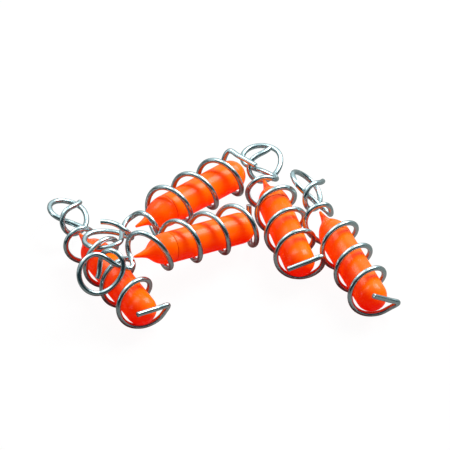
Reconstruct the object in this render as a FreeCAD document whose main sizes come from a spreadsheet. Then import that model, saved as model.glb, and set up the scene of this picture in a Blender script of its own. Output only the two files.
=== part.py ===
import FreeCAD, Part
import math
import os

V = FreeCAD.Vector

# Five hand-wound pieces lying loose on a flat surface. Each one is a single length of round
# wire wound as an open cage, closed by a wrapped eye, with a round-ended plastic slug held
# loose inside it. The slug is a body with a pointed cap pushed into it.
#
# Frame: +Z up, +X to the right, +Y away from the front. The origin is on the floor under the
# middle of the group. Millimetres and degrees.

SIZES = {
    # wire and coil
    "wire_radius": 0.8,
    "coil_radius": 6.6,
    "coil_pitch": 10.4,
    "coil_turns": 3.08,
    "coil_first_angle": 8.0,
    # straight tail across the slug's round end
    "tail_end_x": -4.7,
    "tail_end_y": -3.1,
    "tail_end_z": -2.4,
    "tail_bend_x": 5.9,
    "tail_bend_y": -2.7,
    "tail_bend_z": -1.6,
    # neck: three quarters of a narrower turn over the slug's point
    "eye_height": 40.5,
    "eye_front_angle": 283.0,
    "neck_radius": 4.3,
    "neck_flare": 1.2,
    "neck_right": -1.6,
    "neck_front": -1.0,
    # eye: a ring standing on the neck, and the wrap that closes it
    "ring_radius": 5.8,
    "ring_right": 2.1,
    "ring_up": 12.5,
    "ring_front": -0.4,
    "wrap_radius": 4.0,
    "wrap_right": 0.6,
    "wrap_up": 6.9,
    "wrap_front": 0.4,
    "wrap_slope": 56.5,
    # slug
    "slug_radius": 4.75,
    "slug_length": 43.5,
    "cap_length": 13.0,
    "nib_radius": 0.4,
    "socket_radius": 3.0,
    "socket_depth": 6.0,
    "spigot_radius": 2.95,
    "spigot_length": 5.5,
    "slug_start": -1.1,
    "slug_drop": 0.85,
}

# How each piece lies, and how its eye came out when it was wound. x, y and z give the point
# of the coil's axis level with the tail's bend. The eye is pulled out by reach and turned by
# lean, twist and swing about the right, up and front directions of its own frame.
UNIT_FIELDS = ("x", "y", "z", "heading", "tilt", "roll", "reach", "lean", "twist", "swing")
UNITS = {
    "left": (-22.4, -36.5, 7.7, 119.0, -0.7, 276.0, 0.0, 0.0, 0.0, 0.0),
    "back": (4.96, 28.12, 7.75, -137.0, 4.5, 270.0, 0.5, 0.0, 0.0, 0.0),
    "middle": (8.1, 3.2, 8.05, -145.5, 11.8, 22.0, 2.5, 11.0, 0.0, -4.0),
    "inner": (23.8, -15.9, 8.0, 105.5, -1.3, 258.0, -0.8, 0.0, 0.0, 0.0),
    "right": (45.5, -30.7, 7.4, 112.5, 2.1, 305.0, 0.3, 2.0, -5.0, 7.0),
}

# Bends made by hand, as points in the eye's frame: (right, up, front) seen facing the eye.
CORNER = (3.2, 0.2, 0.9)
STEM = ((3.6, 1.6, 0.2), (2.7, 3.8, -0.3), (0.8, 6.4, -0.5), (-1.6, 8.6, -0.5))
FREE_END = ((1.2, 9.6, 3.9), (4.2, 11.2, 4.0))

# The neck's turn, as (angle from the front, up). It starts wide, on the coil, and has closed
# to the neck's radius by its fifth point.
NECK_TURN = ((170, -4.9), (205, -3.4), (240, -2.2), (275, -1.5), (310, -1.2), (345, -1.0), (378, -0.8))
NECK_CLOSING = 5

# The ring and the wrap as (first angle, last angle, step), and how far the ring sinks back
# for each degree past level where it passes behind the stem.
RING_ARC = (190, -30, -25)
RING_SINK = 0.035
WRAP_ARC = (-110, 70, 30)

TAIL_STEPS = 4
COIL_STEPS_PER_TURN = 14

# Cap outline from its seam: (share of the slug's radius, share of the cap's length).
CAP_FLANK = ((1.00, 0.0), (1.00, 0.10), (0.95, 0.22), (0.85, 0.34), (0.69, 0.45), (0.50, 0.54), (0.33, 0.63), (0.22, 0.74),
             (0.14, 0.87))

doc = FreeCAD.newDocument("CagedSlugs")
sheet = doc.addObject("Spreadsheet::Sheet", "Sizes")
sheet.Label = "Sizes"


def write_sheet():
    rows = dict(SIZES)
    for unit, values in UNITS.items():
        for field, value in zip(UNIT_FIELDS, values):
            rows[f"{unit}_{field}"] = value
    for row, (alias, value) in enumerate(rows.items(), start=1):
        sheet.set(f"A{row}", alias)
        sheet.set(f"B{row}", str(value))
        sheet.setAlias(f"B{row}", alias)
    doc.recompute()


def size(alias):
    return float(sheet.get(alias))


def bind(feature, **expressions):
    for prop, alias in expressions.items():
        feature.setExpression(prop, f"Sizes.{alias}")


def name_of(unit, piece):
    return f"{unit}_{piece}"


# --- where a unit lies -------------------------------------------------------------------


def unit_axis_placement(unit):
    """Origin level with the tail's bend, z along the coil, x straight down the slope."""
    turn = FreeCAD.Rotation(V(0, 0, 1), size(f"{unit}_heading"))
    lie = FreeCAD.Rotation(V(0, 1, 0), 90 - size(f"{unit}_tilt"))
    place = V(size(f"{unit}_x"), size(f"{unit}_y"), size(f"{unit}_z"))
    return FreeCAD.Placement(place, turn * lie)


def cage_placement(unit):
    roll = FreeCAD.Rotation(V(0, 0, 1), size(f"{unit}_roll"))
    return unit_axis_placement(unit) * FreeCAD.Placement(V(), roll)


def slug_placement(unit):
    """The slug has dropped on to the lower side of the coil."""
    offset = V(size("slug_drop"), 0, size("slug_start"))
    return unit_axis_placement(unit) * FreeCAD.Placement(offset, FreeCAD.Rotation())


# --- the wire's centreline, in the cage's own frame ----------------------------------------


def cos_sin(degrees):
    return math.cos(math.radians(degrees)), math.sin(math.radians(degrees))


def tail_points():
    end = V(size("tail_end_x"), size("tail_end_y"), size("tail_end_z"))
    bend = V(size("tail_bend_x"), size("tail_bend_y"), size("tail_bend_z"))
    return [end + (bend - end) * (k / TAIL_STEPS) for k in range(TAIL_STEPS + 1)]


def coil_points():
    radius, pitch, turns = size("coil_radius"), size("coil_pitch"), size("coil_turns")
    steps = round(turns * COIL_STEPS_PER_TURN)
    points = []
    for k in range(steps + 1):
        angle = size("coil_first_angle") + 360 * turns * k / steps
        c, s = cos_sin(angle)
        points.append(V(radius * c, radius * s, pitch * angle / 360))
    return points


# The rest is laid out in the eye's frame.


def arc(first, last, step):
    return range(first, last + (1 if step > 0 else -1), step)


def neck_points(reach):
    points = []
    for k, (angle, up) in enumerate(NECK_TURN, start=1):
        front, right = cos_sin(angle)
        open_share = 1 - min(1, k / NECK_CLOSING)
        radius = size("neck_radius") + size("neck_flare") * open_share
        points.append(V(size("neck_right") + radius * right, up - reach * open_share,
                        size("neck_front") + radius * front))
    return points + [V(*CORNER)]


def ring_points():
    points = []
    for angle in arc(*RING_ARC):
        c, s = cos_sin(angle)
        points.append(V(size("ring_right") + size("ring_radius") * c,
                        size("ring_up") + size("ring_radius") * s,
                        size("ring_front") + RING_SINK * min(angle, 0)))
    return points


def wrap_points():
    """Behind the stem, up on its left and forward across it."""
    radius = size("wrap_radius")
    rising, forward = cos_sin(size("wrap_slope"))
    points = []
    for angle in arc(*WRAP_ARC):
        c, s = cos_sin(angle)
        points.append(V(size("wrap_right") - radius * c, size("wrap_up") + radius * rising * s,
                        size("wrap_front") + radius * forward * s))
    return points


def eye_to_cage(point, reach):
    c, s = cos_sin(size("eye_front_angle"))
    front, right = V(c, s, 0), V(-s, c, 0)
    return right * point.x + front * point.z + V(0, 0, size("eye_height") + reach + point.y)


def wire_points(unit):
    reach = size(f"{unit}_reach")
    bent = FreeCAD.Rotation(V(1, 0, 0), size(f"{unit}_lean"))
    bent = FreeCAD.Rotation(V(0, 1, 0), size(f"{unit}_twist")) * bent
    bent = FreeCAD.Rotation(V(0, 0, 1), size(f"{unit}_swing")) * bent
    stem = [V(*point) for point in STEM]
    free_end = [V(*point) for point in FREE_END]
    eye = [bent.multVec(point) for point in stem + ring_points() + wrap_points() + free_end]
    above = [eye_to_cage(point, reach) for point in neck_points(reach) + eye]
    return tail_points() + coil_points() + above


# --- pieces --------------------------------------------------------------------------------


def add_wire(unit):
    curve = Part.BSplineCurve()
    curve.interpolate(wire_points(unit))
    spine = doc.addObject("Part::Feature", name_of(unit, "centreline"))
    spine.Label = name_of(unit, "centreline")
    spine.Shape = Part.Wire([curve.toShape()])
    spine.Placement = cage_placement(unit)

    section = doc.addObject("Part::Circle", name_of(unit, "section"))
    section.Label = name_of(unit, "section")
    bind(section, Radius="wire_radius")
    start = curve.value(curve.FirstParameter)
    facing = FreeCAD.Rotation(V(0, 0, 1), curve.tangent(curve.FirstParameter)[0])
    section.Placement = cage_placement(unit) * FreeCAD.Placement(start, facing)

    wire = doc.addObject("Part::Sweep", name_of(unit, "wire"))
    wire.Label = name_of(unit, "wire")
    wire.Sections = [section]
    wire.Spine = (spine, ["Edge1"])
    wire.Solid = True
    wire.Frenet = False
    return wire


def add_primitive(kind, name, placement, **bindings):
    feature = doc.addObject(kind, name)
    feature.Label = name
    feature.Placement = placement
    bind(feature, **bindings)
    return feature


def add_boolean(kind, name, base, tool):
    feature = doc.addObject(kind, name)
    feature.Label = name
    feature.Base = base
    feature.Tool = tool
    return feature


def along(unit, distance):
    return slug_placement(unit) * FreeCAD.Placement(V(0, 0, distance), FreeCAD.Rotation())


def add_slug_body(unit):
    seam = size("slug_length") - size("cap_length")
    dome = add_primitive("Part::Sphere", name_of(unit, "dome"), along(unit, size("slug_radius")),
                         Radius="slug_radius")
    barrel = add_primitive("Part::Cylinder", name_of(unit, "barrel"), along(unit, size("slug_radius")),
                           Radius="slug_radius")
    barrel.setExpression("Height", "Sizes.slug_length - Sizes.cap_length - Sizes.slug_radius")
    solid = add_boolean("Part::Fuse", name_of(unit, "bullet"), dome, barrel)
    socket = add_primitive("Part::Cylinder", name_of(unit, "socket"),
                           along(unit, seam - size("socket_depth")),
                           Radius="socket_radius", Height="socket_depth")
    return add_boolean("Part::Cut", name_of(unit, "slug"), solid, socket)


def cap_profile():
    """Half outline of the point, (radius, distance from the seam): shoulder, flank, nib."""
    radius, length, nib = size("slug_radius"), size("cap_length"), size("nib_radius")
    points = [V(radius * r, 0, length * z) for r, z in CAP_FLANK] + [V(nib, 0, length - nib)]
    outline = Part.BSplineCurve()
    outline.interpolate(points)
    tip_middle = V(nib * math.sqrt(0.5), 0, length - nib + nib * math.sqrt(0.5))
    tip = Part.Arc(points[-1], tip_middle, V(0, 0, length))
    edges = [outline.toShape(), tip.toShape(), Part.makeLine(V(0, 0, length), V(0, 0, 0)),
             Part.makeLine(V(0, 0, 0), points[0])]
    return Part.Face(Part.Wire(edges))


def add_cap(unit):
    seam = size("slug_length") - size("cap_length")
    point = doc.addObject("Part::Feature", name_of(unit, "point"))
    point.Label = name_of(unit, "point")
    point.Shape = cap_profile().revolve(V(), V(0, 0, 1), 360)
    point.Placement = along(unit, seam)
    spigot = add_primitive("Part::Cylinder", name_of(unit, "spigot"),
                           along(unit, seam - size("spigot_length")),
                           Radius="spigot_radius", Height="spigot_length")
    return add_boolean("Part::Fuse", name_of(unit, "cap"), point, spigot)


def check(features):
    for feature in doc.Objects:
        if "Invalid" in feature.State or "Error" in feature.State:
            raise RuntimeError(f"{feature.Label} did not build")
    for feature in features:
        shape = feature.Shape
        if shape.isNull() or not shape.isValid() or len(shape.Solids) != 1:
            raise RuntimeError(f"{feature.Label} is not one valid solid")


def export(features):
    os.makedirs("parts", exist_ok=True)
    for feature in features:
        feature.Shape.exportStep(f"parts/{feature.Label}.step")


write_sheet()
nodes = []
for unit in UNITS:
    nodes += [add_wire(unit), add_slug_body(unit), add_cap(unit)]
doc.recompute()
check(nodes)
export(nodes)
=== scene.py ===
import math

import bmesh
import bpy
import numpy as np
from mathutils import Matrix, Vector, noise


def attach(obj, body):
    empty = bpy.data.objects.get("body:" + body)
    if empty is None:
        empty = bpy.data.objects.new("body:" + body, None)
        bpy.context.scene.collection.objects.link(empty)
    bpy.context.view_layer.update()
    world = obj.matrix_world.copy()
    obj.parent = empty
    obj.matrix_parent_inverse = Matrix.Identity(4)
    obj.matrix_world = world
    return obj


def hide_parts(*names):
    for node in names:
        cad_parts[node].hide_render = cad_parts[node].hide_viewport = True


# Five loose wire cages, each with a plastic slug inside it. Every wire and slug is rebuilt here
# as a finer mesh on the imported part's own lines: drawn wire with pinched bends and sheared ends,
# and moulded slugs with a parting line, a seam groove and faintly faceted points.

MM = 0.001

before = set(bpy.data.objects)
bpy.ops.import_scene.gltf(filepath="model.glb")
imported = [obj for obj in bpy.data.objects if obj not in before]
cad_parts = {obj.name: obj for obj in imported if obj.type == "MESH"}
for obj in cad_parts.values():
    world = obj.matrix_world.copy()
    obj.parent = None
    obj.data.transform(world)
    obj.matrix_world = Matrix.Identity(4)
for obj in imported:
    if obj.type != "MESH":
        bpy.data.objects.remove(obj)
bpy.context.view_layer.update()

# --- the part's own sizes, in millimetres -------------------------------------------------------

WIRE_RADIUS = 0.8

COIL_RADIUS = 6.6
COIL_PITCH = 10.4
COIL_TURNS = 3.08
COIL_FIRST_ANGLE = 8.0
COIL_STEPS_PER_TURN = 14

TAIL_END = Vector((-4.7, -3.1, -2.4))
TAIL_BEND = Vector((5.9, -2.7, -1.6))
TAIL_STEPS = 4

EYE_HEIGHT = 40.5
EYE_FRONT_ANGLE = 283.0
NECK_RADIUS = 4.3
NECK_FLARE = 1.2
NECK_RIGHT = -1.6
NECK_FRONT = -1.0
NECK_TURN = ((170, -4.9), (205, -3.4), (240, -2.2), (275, -1.5), (310, -1.2), (345, -1.0), (378, -0.8))
NECK_CLOSING = 5
CORNER = (3.2, 0.2, 0.9)
STEM = ((3.6, 1.6, 0.2), (2.7, 3.8, -0.3), (0.8, 6.4, -0.5), (-1.6, 8.6, -0.5))
RING_RADIUS = 5.8
RING_RIGHT = 2.1
RING_UP = 12.5
RING_FRONT = -0.4
RING_ARC = range(190, -31, -25)
RING_SINK = 0.035
WRAP_RADIUS = 4.0
WRAP_RIGHT = 0.6
WRAP_UP = 6.9
WRAP_FRONT = 0.4
WRAP_SLOPE = 56.5
WRAP_ARC = range(-110, 71, 30)
FREE_END = ((1.2, 9.6, 3.9), (4.2, 11.2, 4.0))

SLUG_RADIUS = 4.75
SLUG_LENGTH = 43.5
CAP_LENGTH = 13.0
NIB_RADIUS = 0.4
SOCKET_RADIUS = 3.0
SOCKET_DEPTH = 6.0
SPIGOT_RADIUS = 2.95
SPIGOT_LENGTH = 5.5
SLUG_START = -1.1
SLUG_DROP = 0.85
CAP_FLANK = ((1.00, 0.0), (1.00, 0.10), (0.95, 0.22), (0.85, 0.34), (0.69, 0.45), (0.50, 0.54), (0.33, 0.63), (0.22, 0.74),
             (0.14, 0.87))

# Where each unit lies: x, y, z, heading, tilt, roll, then how its eye came out: reach, lean,
# twist, swing. The last two columns name the bodies its wire and its slug ride on.
UNITS = {
    "left": ((-22.4, -36.5, 7.7, 119.0, -0.7, 276.0, 0.0, 0.0, 0.0, 0.0), "resting_wires", "left_bullet"),
    "back": ((4.96, 28.12, 7.75, -137.0, 4.5, 270.0, 0.5, 0.0, 0.0, 0.0), "resting_wires", "back_bullet"),
    "middle": ((8.1, 3.2, 8.05, -145.5, 11.8, 22.0, 2.5, 11.0, 0.0, -4.0), "middle_cage", "middle_bullet"),
    "inner": ((23.8, -15.9, 8.0, 105.5, -1.3, 258.0, -0.8, 0.0, 0.0, 0.0), "resting_wires", "inner_bullet"),
    "right": ((45.5, -30.7, 7.4, 112.5, 2.1, 305.0, 0.3, 2.0, -5.0, 7.0), "right_cage", "right_bullet"),
}

# --- the look's own detail, in millimetres ------------------------------------------------------

RING_SPACING = 0.35          # between cross-sections along a wire
WIRE_SIDES = 28
SHEAR_CHAMFER = 0.10         # worn edge of a sheared wire end
BEND_FLATTENING = 0.018      # share of the radius lost across a tight bend
PLIER_MARK_DEPTH = 0.045
PLIER_MARK_LENGTH = 0.55
SLUG_SIDES = 128
PARTING_RIDGE = 0.022
SEAM_GROOVE = 0.13
SEAM_SHADE_REACH = 0.12              # how far each side of the seam the painted seam shade reaches
CAP_FACETS = 9
CAP_FACET_DEPTH = 0.05

WIRE_TINT = (0.50, 0.60, 0.62)
WIRE_DULL = (0.33, 0.41, 0.43)
ORANGE = (0.95, 0.30, 0.001)
ORANGE_DEEP = (0.95, 0.24, 0.001)
# Painted glow: the slugs' emission colour, a red that glows without a lamp so shaded sides stay red.
PAINTED_GLOW = (1.0, 0.0, 0.0)


def turn(degrees, axis):
    return Matrix.Rotation(math.radians(degrees), 4, axis)


def cos_sin(degrees):
    return math.cos(math.radians(degrees)), math.sin(math.radians(degrees))


# --- where a unit lies --------------------------------------------------------------------------


def unit_axis(unit):
    x, y, z, heading, tilt = UNITS[unit][0][:5]
    return Matrix.Translation((x, y, z)) @ turn(heading, "Z") @ turn(90 - tilt, "Y")


def cage_place(unit):
    return unit_axis(unit) @ turn(UNITS[unit][0][5], "Z")


def slug_place(unit):
    return unit_axis(unit) @ Matrix.Translation((SLUG_DROP, 0, SLUG_START))


# --- the wire's line ----------------------------------------------------------------------------


def tail_points():
    return [TAIL_END.lerp(TAIL_BEND, k / TAIL_STEPS) for k in range(TAIL_STEPS + 1)]


def coil_points():
    steps = round(COIL_TURNS * COIL_STEPS_PER_TURN)
    points = []
    for k in range(steps + 1):
        angle = COIL_FIRST_ANGLE + 360 * COIL_TURNS * k / steps
        c, s = cos_sin(angle)
        points.append(Vector((COIL_RADIUS * c, COIL_RADIUS * s, COIL_PITCH * angle / 360)))
    return points


def neck_points(reach):
    points = []
    for k, (angle, up) in enumerate(NECK_TURN, start=1):
        front, right = cos_sin(angle)
        open_share = 1 - min(1, k / NECK_CLOSING)
        radius = NECK_RADIUS + NECK_FLARE * open_share
        points.append(Vector((NECK_RIGHT + radius * right, up - reach * open_share, NECK_FRONT + radius * front)))
    return points + [Vector(CORNER)]


def ring_points():
    points = []
    for angle in RING_ARC:
        c, s = cos_sin(angle)
        points.append(Vector((RING_RIGHT + RING_RADIUS * c, RING_UP + RING_RADIUS * s,
                              RING_FRONT + RING_SINK * min(angle, 0))))
    return points


def wrap_points():
    rising, forward = cos_sin(WRAP_SLOPE)
    points = []
    for angle in WRAP_ARC:
        c, s = cos_sin(angle)
        points.append(Vector((WRAP_RIGHT - WRAP_RADIUS * c, WRAP_UP + WRAP_RADIUS * rising * s,
                              WRAP_FRONT + WRAP_RADIUS * forward * s)))
    return points


def eye_to_cage(point, reach):
    c, s = cos_sin(EYE_FRONT_ANGLE)
    front, right = Vector((c, s, 0)), Vector((-s, c, 0))
    return right * point.x + front * point.z + Vector((0, 0, EYE_HEIGHT + reach + point.y))


def wire_points(unit):
    reach, lean, twist, swing = UNITS[unit][0][6:]
    bent = turn(swing, "Z") @ turn(twist, "Y") @ turn(lean, "X")
    eye = [Vector(p) for p in STEM] + ring_points() + wrap_points() + [Vector(p) for p in FREE_END]
    above = [eye_to_cage(p, reach) for p in neck_points(reach) + [bent @ p for p in eye]]
    place = cage_place(unit)
    return np.array([place @ p for p in tail_points() + coil_points() + above])


def end_slope(t, p):
    """Slope at the first of four points, of the cubic through them."""
    slope = np.zeros(3)
    for i in range(4):
        others = [j for j in range(4) if j != i]
        below = np.prod([t[i] - t[j] for j in others])
        total = 0.0
        for skipped in others:
            total += np.prod([t[0] - t[j] for j in others if j != skipped])
        slope += p[i] * total / below
    return slope


def smooth_line(points, spacing):
    """Evenly spaced points on the twice-smooth cubic curve through the given ones."""
    chords = np.linalg.norm(np.diff(points, axis=0), axis=1)
    t = np.concatenate([[0], np.cumsum(chords)])
    n = len(points)
    rows, right = np.zeros((n, n)), np.zeros((n, 3))
    rows[0, 0] = rows[-1, -1] = 1
    right[0] = end_slope(t[:4], points[:4])
    right[-1] = end_slope(t[::-1][:4], points[::-1][:4])
    for i in range(1, n - 1):
        before, after = chords[i - 1], chords[i]
        rows[i, i - 1], rows[i, i], rows[i, i + 1] = after, 2 * (before + after), before
        right[i] = 3 * (before * (points[i + 1] - points[i]) / after
                        + after * (points[i] - points[i - 1]) / before)
    slopes = np.linalg.solve(rows, right)

    def at(values):
        i = np.clip(np.searchsorted(t, values, side="right") - 1, 0, n - 2)
        h = chords[i][:, None]
        s = ((values - t[i]) / chords[i])[:, None]
        return ((2 * s**3 - 3 * s**2 + 1) * points[i] + (s**3 - 2 * s**2 + s) * h * slopes[i]
                + (3 * s**2 - 2 * s**3) * points[i + 1] + (s**3 - s**2) * h * slopes[i + 1])

    fine = at(np.linspace(0, t[-1], 6000))
    length = np.concatenate([[0], np.cumsum(np.linalg.norm(np.diff(fine, axis=0), axis=1))])
    count = int(length[-1] / spacing) + 1
    wanted = np.linspace(0, length[-1], count)
    return np.stack([np.interp(wanted, length, fine[:, k]) for k in range(3)], axis=1), wanted


def travelling_frames(line):
    """Tangents and two cross directions that never spin about the line."""
    tangents = np.gradient(line, axis=0)
    tangents /= np.linalg.norm(tangents, axis=1)[:, None]
    side = np.cross(tangents[0], (0.0, 0.0, 1.0))
    side /= np.linalg.norm(side)
    sides = [side]
    for tangent in tangents[1:]:
        side = side - tangent * (side @ tangent)
        side = side / np.linalg.norm(side)
        sides.append(side)
    sides = np.array(sides)
    return tangents, sides, np.cross(tangents, sides)


# --- meshes -------------------------------------------------------------------------------------


def finish_mesh(name, bm, material, smooth_angle=35):
    mesh = bpy.data.meshes.new(name)
    bm.normal_update()
    bm.to_mesh(mesh)
    bm.free()
    for polygon in mesh.polygons:
        polygon.use_smooth = True
    mesh.set_sharp_from_angle(angle=math.radians(smooth_angle))
    mesh.materials.append(material)
    made = bpy.data.objects.new(name, mesh)
    bpy.context.scene.collection.objects.link(made)
    return made


def skin(bm, rings, closed_start=True, closed_end=True):
    """Quads between equal rings of vertices, and a fan over each end."""
    uv = bm.loops.layers.uv.verify()
    made = [[bm.verts.new(p) for p in ring["points"]] for ring in rings]
    sides = len(made[0])
    for a in range(len(made) - 1):
        for k in range(sides):
            m = (k + 1) % sides
            face = bm.faces.new((made[a][k], made[a][m], made[a + 1][m], made[a + 1][k]))
            around = ((k, a), (k + 1, a), (k + 1, a + 1), (k, a + 1))
            for loop, (step, row) in zip(face.loops, around):
                loop[uv].uv = (step / sides, rings[row]["along"])
    for wanted, row, flip in ((closed_start, 0, True), (closed_end, -1, False)):
        if not wanted:
            continue
        loop_verts = made[row]
        middle = bm.verts.new(sum((v.co for v in loop_verts), Vector()) / sides)
        for k in range(sides):
            a, b = loop_verts[k], loop_verts[(k + 1) % sides]
            face = bm.faces.new((middle, b, a) if flip else (middle, a, b))
            for loop in face.loops:
                loop[uv].uv = (k / sides, rings[row]["along"])
    return made


def wire_mesh(unit, material, seed):
    line, length = smooth_line(wire_points(unit), RING_SPACING)
    tangents, sides, ups = travelling_frames(line)
    bend = np.gradient(tangents, axis=0) / RING_SPACING
    total = length[-1]
    random = np.random.default_rng(seed)
    # Pliers gripped the wire at the tail's bend, at the corner under the eye and on the wrap.
    grips = [(share * total + random.uniform(-1, 1), random.uniform(0, 2 * math.pi))
             for share in (0.05, 0.11, 0.76, 0.815, 0.875, 0.93, 0.975)]
    angles = np.arange(WIRE_SIDES) * 2 * math.pi / WIRE_SIDES
    stations = [(0, WIRE_RADIUS - SHEAR_CHAMFER, 0.0), (0, WIRE_RADIUS - 0.3 * SHEAR_CHAMFER, 0.4 * SHEAR_CHAMFER)]
    stations += [(i, WIRE_RADIUS, SHEAR_CHAMFER if i == 0 else 0.0) for i in range(len(line) - 1)]
    stations += [(-1, WIRE_RADIUS, -SHEAR_CHAMFER), (-1, WIRE_RADIUS - 0.3 * SHEAR_CHAMFER, -0.4 * SHEAR_CHAMFER),
                 (-1, WIRE_RADIUS - SHEAR_CHAMFER, 0.0)]
    rings = []
    for i, base, shift in stations:
        centre = line[i] + tangents[i] * shift
        along = length[i] + shift
        curve = min(1.0, np.linalg.norm(bend[i]) * 6)
        inward = bend[i] / (np.linalg.norm(bend[i]) + 1e-9)
        points = []
        for angle in angles:
            out = sides[i] * math.cos(angle) + ups[i] * math.sin(angle)
            radius = base * (1 - BEND_FLATTENING * curve * (out @ inward) ** 2)
            for where, facing in grips:
                gap = (along - where) / PLIER_MARK_LENGTH
                if abs(gap) < 2.5:
                    for jaw in (facing, facing + math.pi):
                        reach = math.cos(angle - jaw)
                        if reach > 0.6:
                            radius -= PLIER_MARK_DEPTH * math.exp(-gap * gap) * (reach - 0.6) / 0.4
            wander = noise.noise(Vector((math.cos(angle), math.sin(angle), along * 0.35 + seed)))
            radius -= 0.004 * (wander + 0.5)
            points.append(Vector((centre + out * radius) * MM))
        rings.append({"points": points, "along": along * MM})
    bm = bmesh.new()
    skin(bm, rings)
    made = finish_mesh(f"{unit}_wire_drawn", bm, material, smooth_angle=50)
    return made


def lathe(name, outline, place, material, shape):
    """Turns (radius, height) pairs about the slug's axis. shape(angle, radius, height) moves a
    point in or out. The lips of the seam are given painted shade, a dark material that stands in
    for the shadow in the seam's groove."""
    rings = []
    travelled = 0.0
    for k, (radius, height) in enumerate(outline):
        if k:
            travelled += math.hypot(radius - outline[k - 1][0], height - outline[k - 1][1])
        points = []
        for step in range(SLUG_SIDES):
            angle = 2 * math.pi * step / SLUG_SIDES
            r = shape(angle, radius, height)
            points.append((place @ Vector((r * math.cos(angle), r * math.sin(angle), height))) * MM)
        rings.append({"points": points, "along": travelled * MM})
    bm = bmesh.new()
    made = skin(bm, rings)
    seam = SLUG_LENGTH - CAP_LENGTH
    # Faces at the seam's lips take the painted shade (material 1), a stand-in for the groove's shadow.
    seam_shade_faces = {v for row, (radius, height) in zip(made, outline) for v in row
            if radius > SOCKET_RADIUS + 0.5 and abs(height - seam) < SEAM_SHADE_REACH}
    for face in bm.faces:
        if seam_shade_faces.issuperset(face.verts):
            face.material_index = 1
    piece = finish_mesh(name, bm, material, smooth_angle=28)
    piece.data.materials.append(seam_shade_material)
    return piece


def arc_outline(radius, centre_height, first, last, steps):
    made = []
    for k in range(steps + 1):
        c, s = cos_sin(first + (last - first) * k / steps)
        made.append((max(radius * c, 0.02), centre_height + radius * s))
    return made


def spread(a, b, steps):
    return [(a[0] + (b[0] - a[0]) * k / steps, a[1] + (b[1] - a[1]) * k / steps) for k in range(1, steps + 1)]


def slug_outline():
    seam = SLUG_LENGTH - CAP_LENGTH
    groove = SEAM_GROOVE
    outline = arc_outline(SLUG_RADIUS, SLUG_RADIUS, -90, 0, 26)
    outline += spread(outline[-1], (SLUG_RADIUS, seam - 2 * groove), 24)
    outline += [(SLUG_RADIUS - 0.15 * groove, seam - 1.2 * groove), (SLUG_RADIUS - 0.5 * groove, seam - 0.55 * groove),
                (SLUG_RADIUS - 1.3 * groove, seam - 0.3 * groove), (SLUG_RADIUS - 2.2 * groove, seam - 0.25 * groove),
                (SOCKET_RADIUS + 0.15, seam - 0.25 * groove), (SOCKET_RADIUS, seam - 0.25 * groove - 0.15),
                (SOCKET_RADIUS, seam - SOCKET_DEPTH), (0.02, seam - SOCKET_DEPTH)]
    return outline


def flank_outline():
    """The cap's side as a smooth curve through its stations, from the seam up to the nib."""
    seam = SLUG_LENGTH - CAP_LENGTH
    stations = [(SLUG_RADIUS * r, CAP_LENGTH * z) for r, z in CAP_FLANK] + [(NIB_RADIUS, CAP_LENGTH - NIB_RADIUS)]
    line, _ = smooth_line(np.array([(r, 0.0, z) for r, z in stations]), 0.25)
    return [(r, seam + z) for r, _, z in line]


def cap_outline():
    seam = SLUG_LENGTH - CAP_LENGTH
    groove = SEAM_GROOVE
    foot = seam - SPIGOT_LENGTH
    outline = [(0.02, foot), (SPIGOT_RADIUS - 0.3, foot), (SPIGOT_RADIUS, foot + 0.3), (SPIGOT_RADIUS, seam),
               (SLUG_RADIUS - 2.2 * groove, seam), (SLUG_RADIUS - 1.1 * groove, seam + 0.05 * groove),
               (SLUG_RADIUS - 0.4 * groove, seam + 0.3 * groove), (SLUG_RADIUS - 0.1 * groove, seam + 0.8 * groove)]
    outline += [p for p in flank_outline() if p[1] > seam + 1.4 * groove]
    outline += arc_outline(NIB_RADIUS, SLUG_LENGTH - NIB_RADIUS, 12, 90, 7)
    return outline


def parting_line(angle, radius, height):
    """The two mould halves meet along the slug's sides in a hair-fine ridge."""
    if radius < 1.0 or height < 0.4:
        return radius
    near = min(abs(math.sin(angle)), 1.0) * radius / 0.16
    return radius + PARTING_RIDGE * (math.exp(-near * near) - 0.5)


def faceted(angle, radius, height):
    """The cap was cut on a faceted core, which shows faintly along its flank."""
    seam = SLUG_LENGTH - CAP_LENGTH
    up = (height - seam) / CAP_LENGTH
    if up < 0.12 or radius < 1.0:
        return radius
    fade = min(1.0, (up - 0.12) / 0.2) * min(1.0, (radius - 1.0) / 1.5)
    return radius - CAP_FACET_DEPTH * fade * (1 - abs(math.cos(angle * CAP_FACETS / 2)))


# --- materials ----------------------------------------------------------------------------------


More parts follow.
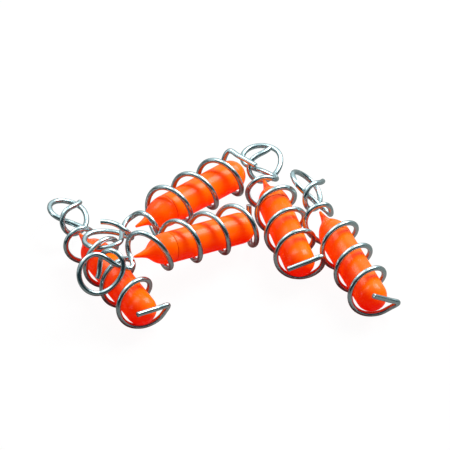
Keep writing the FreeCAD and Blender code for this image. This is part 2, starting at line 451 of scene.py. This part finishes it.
class Nodes:
    """A short way to write a material's nodes and links."""

    def __init__(self, name):
        self.material = bpy.data.materials.new(name)
        self.material.use_nodes = True
        self.tree = self.material.node_tree
        self.shader = self.tree.nodes["Principled BSDF"]

    def add(self, kind, **settings):
        node = self.tree.nodes.new(kind)
        for key, value in settings.items():
            setattr(node, key, value)
        return node

    def put(self, value, socket):
        if isinstance(value, bpy.types.NodeSocket):
            self.tree.links.new(value, socket)
        else:
            socket.default_value = value

    def maths(self, operation, *values):
        node = self.add("ShaderNodeMath", operation=operation)
        for value, socket in zip(values, node.inputs):
            self.put(value, socket)
        return node.outputs[0]

    def noise(self, vector, scale, detail=4.0, roughness=0.55):
        node = self.add("ShaderNodeTexNoise")
        self.put(vector, node.inputs["Vector"])
        node.inputs["Scale"].default_value = scale
        node.inputs["Detail"].default_value = detail
        node.inputs["Roughness"].default_value = roughness
        return node.outputs["Fac"]

    def ramp(self, value, low, high, to_low=0.0, to_high=1.0):
        node = self.add("ShaderNodeMapRange", clamp=True)
        self.put(value, node.inputs["Value"])
        for name, number in (("From Min", low), ("From Max", high), ("To Min", to_low), ("To Max", to_high)):
            node.inputs[name].default_value = number
        return node.outputs["Result"]

    def mix(self, factor, a, b):
        node = self.add("ShaderNodeMix", data_type="RGBA")
        self.put(factor, node.inputs["Factor"])
        for value, name in ((a, "A"), (b, "B")):
            socket = next(s for s in node.inputs if s.name == name and s.type == "RGBA")
            self.put((*value, 1.0) if isinstance(value, tuple) else value, socket)
        return next(s for s in node.outputs if s.type == "RGBA")

    def bump(self, height, strength, distance, normal=None):
        node = self.add("ShaderNodeBump")
        self.put(height, node.inputs["Height"])
        node.inputs["Strength"].default_value = strength
        node.inputs["Distance"].default_value = distance
        if normal is not None:
            self.put(normal, node.inputs["Normal"])
        return node.outputs["Normal"]

    def around_and_along(self, stretch):
        """A coordinate that wraps round the piece without a seam and runs along its length:
        (cos, sin, length in millimetres times stretch)."""
        split = self.add("ShaderNodeSeparateXYZ")
        self.put(self.add("ShaderNodeUVMap").outputs["UV"], split.inputs[0])
        angle = self.maths("MULTIPLY", split.outputs["X"], 2 * math.pi)
        join = self.add("ShaderNodeCombineXYZ")
        self.put(self.maths("COSINE", angle), join.inputs["X"])
        self.put(self.maths("SINE", angle), join.inputs["Y"])
        self.put(self.maths("MULTIPLY", split.outputs["Y"], stretch / MM), join.inputs["Z"])
        return join.outputs[0]

    def object_mm(self):
        node = self.add("ShaderNodeVectorMath", operation="SCALE")
        self.put(self.add("ShaderNodeTexCoord").outputs["Object"], node.inputs[0])
        node.inputs["Scale"].default_value = 1 / MM
        return node.outputs[0]


def zinc_wire():
    m = Nodes("zinc_wire")
    drawn = m.around_and_along(0.035)
    place = m.object_mm()
    streaks = m.noise(drawn, 9.0, detail=6.0, roughness=0.65)
    cloud = m.noise(place, 0.22, detail=3.0)
    grain = m.noise(place, 3.2, detail=5.0, roughness=0.6)
    dull = m.maths("MULTIPLY", m.ramp(cloud, 0.42, 0.72), m.ramp(grain, 0.3, 0.7))
    dull = m.maths("ADD", m.maths("MULTIPLY", dull, 0.35), m.maths("MULTIPLY", m.ramp(streaks, 0.55, 0.8), 0.3))
    m.put(m.mix(dull, WIRE_TINT, WIRE_DULL), m.shader.inputs["Base Color"])
    m.shader.inputs["Metallic"].default_value = 1.0
    rough = m.maths("ADD", m.ramp(streaks, 0.3, 0.75, 0.17, 0.27), m.maths("MULTIPLY", dull, 0.16))
    m.put(rough, m.shader.inputs["Roughness"])
    fine = m.bump(streaks, 0.25, 0.00003)
    pits = m.bump(m.ramp(grain, 0.25, 0.45), 0.2, 0.00002, fine)
    m.put(pits, m.shader.inputs["Normal"])
    return m.material


def orange_plastic_painted_glow(name, roughness):
    m = Nodes(name)
    place = m.object_mm()
    turned = m.around_and_along(0.12)
    cloud = m.noise(place, 0.16, detail=3.0)
    skin_grain = m.noise(place, 7.0, detail=4.0, roughness=0.6)
    flow = m.noise(turned, 2.6, detail=4.0)
    scuffs = m.ramp(m.noise(turned, 14.0, detail=7.0, roughness=0.75), 0.66, 0.76)
    m.put(m.mix(m.ramp(cloud, 0.35, 0.7), ORANGE, ORANGE_DEEP), m.shader.inputs["Base Color"])
    rough = m.maths("ADD", m.ramp(flow, 0.3, 0.7, roughness - 0.04, roughness + 0.05),
                    m.maths("MULTIPLY", scuffs, 0.14))
    m.put(rough, m.shader.inputs["Roughness"])
    m.shader.inputs["Specular IOR Level"].default_value = 0.22
    # Painted glow: a constant red emission stands in for light and keeps the shaded sides red; the base colour is the
    # plastic's own orange.
    m.shader.inputs["Emission Color"].default_value = (*PAINTED_GLOW, 1.0)
    m.shader.inputs["Emission Strength"].default_value = 0.66
    moulded = m.bump(skin_grain, 0.25, 0.00003)
    rippled = m.bump(flow, 0.35, 0.00010, moulded)
    m.put(rippled, m.shader.inputs["Normal"])
    return m.material


def seam_painted_shade():
    """Painted shade in the seam behind the point: a dark red-brown without glow, in patches of random tone, standing
    in for the groove's shadow.
    """
    m = Nodes("seam_painted_shade")
    patches = m.ramp(m.noise(m.object_mm(), 0.5, detail=4.0), 0.35, 0.65)
    m.put(m.mix(patches, (0.20, 0.012, 0.002), (0.42, 0.035, 0.002)), m.shader.inputs["Base Color"])
    m.shader.inputs["Roughness"].default_value = 0.7
    m.shader.inputs["Specular IOR Level"].default_value = 0.1
    m.put(m.bump(patches, 0.3, 0.00003), m.shader.inputs["Normal"])
    return m.material


# --- the object ---------------------------------------------------------------------------------

wire_material = zinc_wire()
# The seam's material is painted shade for the shadow in the groove.
seam_shade_material = seam_painted_shade()
slug_material = orange_plastic_painted_glow("slug_plastic", 0.24)
cap_material = orange_plastic_painted_glow("cap_plastic", 0.21)

for number, (unit, (_, wire_body, slug_body)) in enumerate(UNITS.items(), start=1):
    wire = wire_mesh(unit, wire_material, seed=number)
    place = slug_place(unit) @ turn(47 * number, "Z")
    slug = lathe(f"{unit}_slug_moulded", slug_outline(), place, slug_material, parting_line)
    cap = lathe(f"{unit}_cap_moulded", cap_outline(), place, cap_material, faceted)
    for piece, node, body, slot in ((wire, f"{unit}_wire", wire_body, "wire"),
                                    (slug, f"{unit}_slug", slug_body, "slug"),
                                    (cap, f"{unit}_cap", slug_body, "cap")):
        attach(piece, body)
        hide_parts(node)

# --- floor, light and camera --------------------------------------------------------------------


def floor_material():
    """White paper. The camera sees it nearly burnt out, as in a product picture; wires mirror it
    as a mid grey, and little of its light reaches the slugs."""
    m = Nodes("paper_floor")
    fibres = m.noise(m.object_mm(), 0.9, detail=5.0)
    m.put(m.mix(fibres, (0.07, 0.07, 0.07), (0.09, 0.09, 0.09)), m.shader.inputs["Base Color"])
    m.shader.inputs["Roughness"].default_value = 0.85
    m.shader.inputs["Specular IOR Level"].default_value = 0.1
    m.shader.inputs["Emission Color"].default_value = (1.0, 1.0, 1.0, 1.0)
    m.shader.inputs["Emission Strength"].default_value = 0.955
    m.put(m.bump(fibres, 0.1, 0.00005), m.shader.inputs["Normal"])
    mirrored = m.add("ShaderNodeBsdfDiffuse")
    mirrored.inputs["Color"].default_value = (0.42, 0.48, 0.46, 1.0)
    thrown = m.add("ShaderNodeBsdfDiffuse")
    thrown.inputs["Color"].default_value = (0.22, 0.03, 0.02, 1.0)
    path = m.add("ShaderNodeLightPath")
    unseen = m.add("ShaderNodeMixShader")
    m.put(path.outputs["Is Diffuse Ray"], unseen.inputs[0])
    m.put(mirrored.outputs[0], unseen.inputs[1])
    m.put(thrown.outputs[0], unseen.inputs[2])
    choose = m.add("ShaderNodeMixShader")
    m.put(path.outputs["Is Camera Ray"], choose.inputs[0])
    m.put(unseen.outputs[0], choose.inputs[1])
    m.put(m.shader.outputs[0], choose.inputs[2])
    m.put(choose.outputs[0], m.tree.nodes["Material Output"].inputs["Surface"])
    return m.material


def add_floor(half=3.0):
    bm = bmesh.new()
    uv = bm.loops.layers.uv.verify()
    corners = [bm.verts.new((x * half, y * half, 0.0)) for x, y in ((-1, -1), (1, -1), (1, 1), (-1, 1))]
    face = bm.faces.new(corners)
    for loop in face.loops:
        loop[uv].uv = (loop.vert.co.x, loop.vert.co.y)
    made = finish_mesh("floor", bm, floor_material())
    return made


def add_softbox(name, position, target, width, height, energy, colour=(1.0, 1.0, 1.0)):
    light = bpy.data.lights.new(name, "AREA")
    light.shape = "RECTANGLE"
    light.size, light.size_y = width, height
    light.energy = energy
    light.color = colour
    holder = bpy.data.objects.new(name, light)
    holder.location = position
    holder.rotation_euler = (Vector(target) - Vector(position)).to_track_quat("-Z", "Y").to_euler()
    bpy.context.scene.collection.objects.link(holder)
    return holder


def studio():
    """The room is dark teal in front and pale behind and overhead, so bare metal has a dark core
    under a broad bright band. Beyond the floor the camera would see plain white."""
    world = bpy.data.worlds.new("studio")
    world.use_nodes = True
    bpy.context.scene.world = world
    nodes, link = world.node_tree.nodes, world.node_tree.links.new
    facing = nodes.new("ShaderNodeVectorMath")
    facing.operation = "DOT_PRODUCT"
    facing.inputs[1].default_value = ROOM_BRIGHT_SIDE
    link(nodes.new("ShaderNodeTexCoord").outputs["Generated"], facing.inputs[0])
    shade = nodes.new("ShaderNodeValToRGB")
    stops = shade.color_ramp.elements
    stops[0].position, stops[0].color = ROOM_DARK[0], (*ROOM_DARK[1], 1.0)
    stops[1].position, stops[1].color = ROOM_PALE[0], (*ROOM_PALE[1], 1.0)
    link(facing.outputs["Value"], shade.inputs["Fac"])
    path = nodes.new("ShaderNodeLightPath")
    colours = [shade.outputs["Color"]]
    for ray, colour in (("Is Diffuse Ray", ROOM_ON_PLASTIC), ("Is Camera Ray", (1.0, 1.0, 1.0))):
        pick = nodes.new("ShaderNodeMixRGB")
        link(path.outputs[ray], pick.inputs["Fac"])
        link(colours[-1], pick.inputs["Color1"])
        pick.inputs["Color2"].default_value = (*colour, 1.0)
        colours.append(pick.outputs["Color"])
    link(colours[-1], nodes["Background"].inputs["Color"])


ROOM_BRIGHT_SIDE = (0.0, 0.6, 0.8)
ROOM_DARK = (0.22, (0.010, 0.034, 0.042))
ROOM_PALE = (0.72, (0.86, 1.02, 1.04))
ROOM_ON_PLASTIC = (0.09, 0.012, 0.010)

CAMERA_ELEVATION = 41.9
CAMERA_DISTANCE = 1.854
CAMERA_LENS = 491.3
CAMERA_TARGET = Vector((0.0009, 0.0111, 0.0))
CAMERA_SHIFT = (-0.45 / 450, 0.8 / 450)


def add_camera():
    c, s = cos_sin(CAMERA_ELEVATION)
    back = Vector((0.0, -c, s))
    camera = bpy.data.cameras.new("camera")
    camera.sensor_width = 36.0
    camera.lens = CAMERA_LENS
    camera.shift_x, camera.shift_y = CAMERA_SHIFT
    camera.clip_start, camera.clip_end = 0.05, 20.0
    holder = bpy.data.objects.new("camera", camera)
    holder.location = CAMERA_TARGET + back * CAMERA_DISTANCE
    holder.rotation_euler = (-back).to_track_quat("-Z", "Y").to_euler()
    bpy.context.scene.collection.objects.link(holder)
    bpy.context.scene.camera = holder


add_floor()
studio()
left_window = add_softbox("left_window", (-0.34, 0.35, 0.76), (0, 0, 0), 0.50, 0.50, 3.4, (0.95, 1.0, 1.0))
right_window = add_softbox("right_window", (0.49, 0.42, 0.63), (0, 0, 0), 0.50, 0.50, 7.2, (0.97, 1.0, 1.0))
left_fill = add_softbox("left_fill", (-0.85, -0.10, 0.30), (0, 0, 0), 0.30, 0.25, 0.5, (0.92, 0.98, 1.0))
for gloss_only in (left_window, left_fill):
    gloss_only.visible_diffuse = False
add_camera()
bpy.context.scene.view_settings.view_transform = "Standard"
